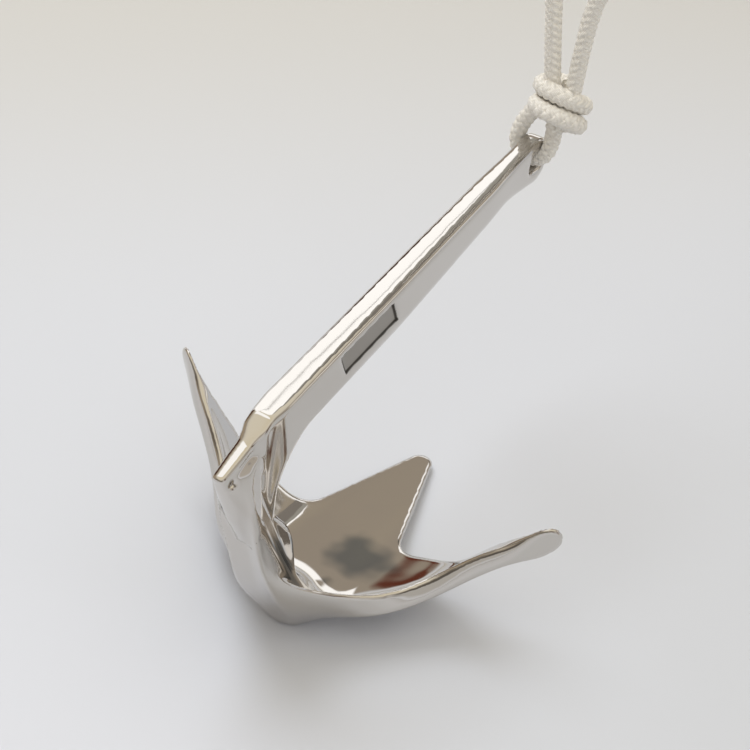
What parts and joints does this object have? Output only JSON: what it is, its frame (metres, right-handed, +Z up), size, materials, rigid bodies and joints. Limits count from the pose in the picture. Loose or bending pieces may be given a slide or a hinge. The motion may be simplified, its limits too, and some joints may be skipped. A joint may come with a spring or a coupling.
{
  "type": "claw anchor",
  "caption": "Claw anchor cast in one piece, with a scooped body, side wings, a pointed centre fluke and an arched shank whose eye holds a knotted rope loop.",
  "frame": {"origin": "the lowest place of the crown, which the anchor stands on, in its middle plane", "axes": "+X from the heel towards the rope's eye, +Y to the anchor's left, +Z up"},
  "size_m": [0.27, 0.208, 0.3244],
  "materials": {
    "polished_steel": "stainless steel casting, mirror polished, with soft cast edges",
    "rope": "off-white braided rope"
  },
  "bodies": {
    "root": {"anchor": "polished_steel", "rope_eye_strand": "rope", "rope_knot": "rope", "rope_loop": "rope"}
  },
  "joints": []
}
